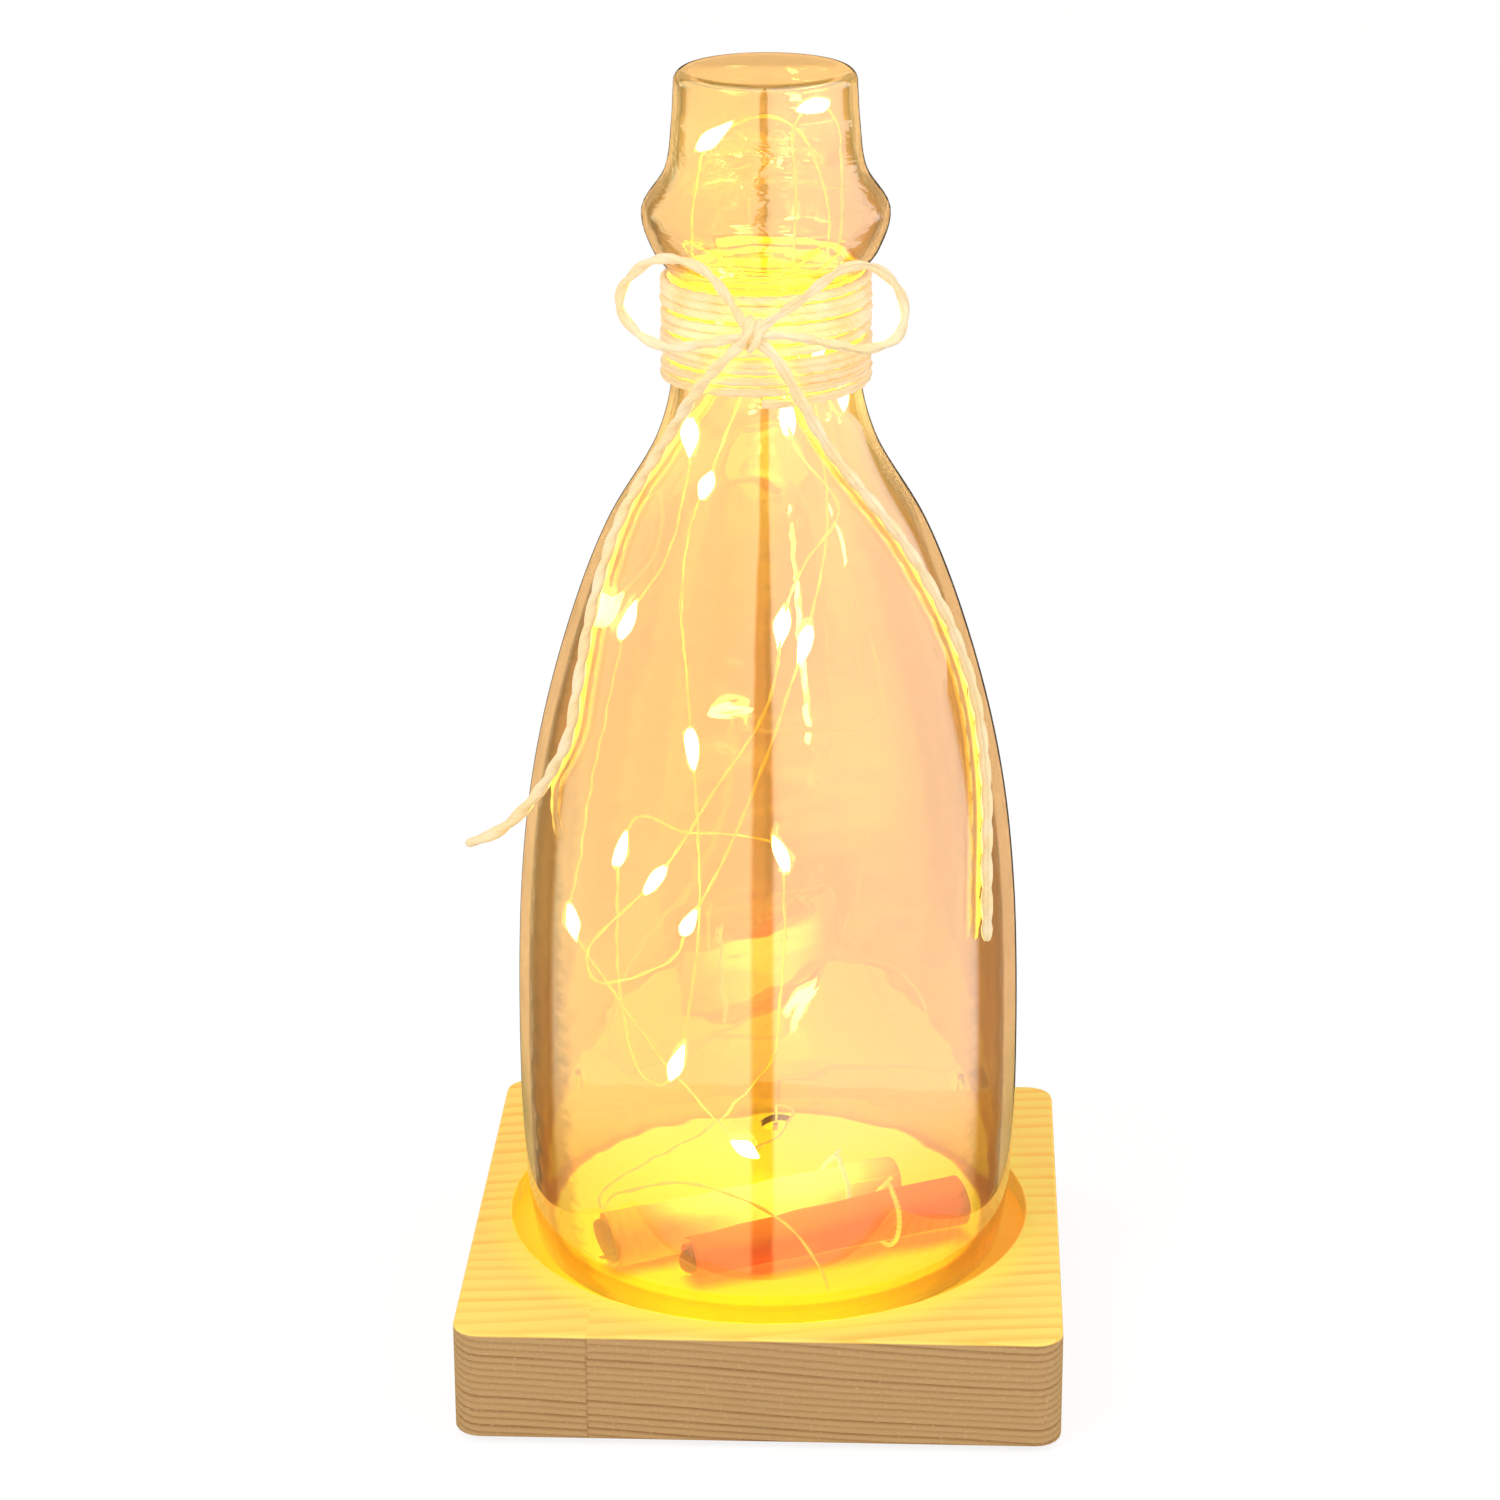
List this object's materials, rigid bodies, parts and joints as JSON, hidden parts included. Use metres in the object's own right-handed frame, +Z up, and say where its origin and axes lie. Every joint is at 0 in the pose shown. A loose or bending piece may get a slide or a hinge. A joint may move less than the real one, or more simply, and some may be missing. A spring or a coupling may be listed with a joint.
{
  "type": "bottle lamp",
  "caption": "Tinted glass bottle over a string of tiny lights and two paper scrolls, standing in a ring groove in a square wooden base, with twine tied in a bow round its neck.",
  "frame": {"origin": "centre of the square footprint, on the surface that the foam pads stand on", "axes": "+Z up the bottle, -Y out of the front of the base, +X to the right as seen from the front"},
  "size_m": [0.1, 0.1, 0.2186],
  "materials": {
    "pine": "waxed pine with a straight grain",
    "black_foam": "matt closed-cell foam",
    "amber_glass": "clear tinted glass, glossy",
    "cream_twine": "twisted, slightly hairy",
    "copper_wire": "fine bare copper wire with clear resin drops",
    "clear_insulation": "clear insulation over copper",
    "cream_paper": "plain paper",
    "red_paper": "plain paper",
    "silver_thread": "shiny thread",
    "gold_thread": "shiny twisted thread",
    "black_plastic": "fine moulded texture",
    "white_plastic": "smooth",
    "bright_steel": "bright plated steel",
    "nickel_strip": "nickel plated strip"
  },
  "bodies": {
    "base": {"wood_base": "pine", "foam_pad_front_left": "black_foam", "foam_pad_front_right": "black_foam", "foam_pad_back_left": "black_foam", "foam_pad_back_right": "black_foam", "led_string": "copper_wire", "battery_lead": "clear_insulation", "scroll_cream": "cream_paper", "scroll_red": "red_paper", "scroll_cream_tie": "silver_thread", "scroll_red_tie": "gold_thread", "battery_case": "black_plastic", "battery_case_back": "black_plastic", "case_screw_left": "bright_steel", "case_screw_right": "bright_steel", "coin_cell_lower": "bright_steel", "coin_cell_upper": "bright_steel", "negative_contact": "nickel_strip", "positive_contact": "nickel_strip", "switch_shell": "bright_steel"},
    "glass": {"glass_bottle": "amber_glass", "neck_twine_wrap": "cream_twine", "bow_knot": "cream_twine", "bow_loop_left": "cream_twine", "bow_loop_right": "cream_twine", "twine_tail_left": "cream_twine", "twine_tail_right": "cream_twine"},
    "switch": {"switch_slider": "white_plastic"},
    "battery_door": {"battery_door": "black_plastic", "door_screw": "bright_steel"}
  },
  "joints": [
    {"name": "glass_lift", "type": "slide", "parent": "base", "child": "glass", "axis": [0, 0, 1], "range_m": [0, 0.2]},
    {"name": "switch_slide", "type": "slide", "parent": "base", "child": "switch", "axis": [0, 1, 0], "range_m": [0, 0.0025]},
    {"name": "battery_door_lift", "type": "slide", "parent": "base", "child": "battery_door", "axis": [0, 0, -1], "range_m": [0, 0.015]}
  ]
}
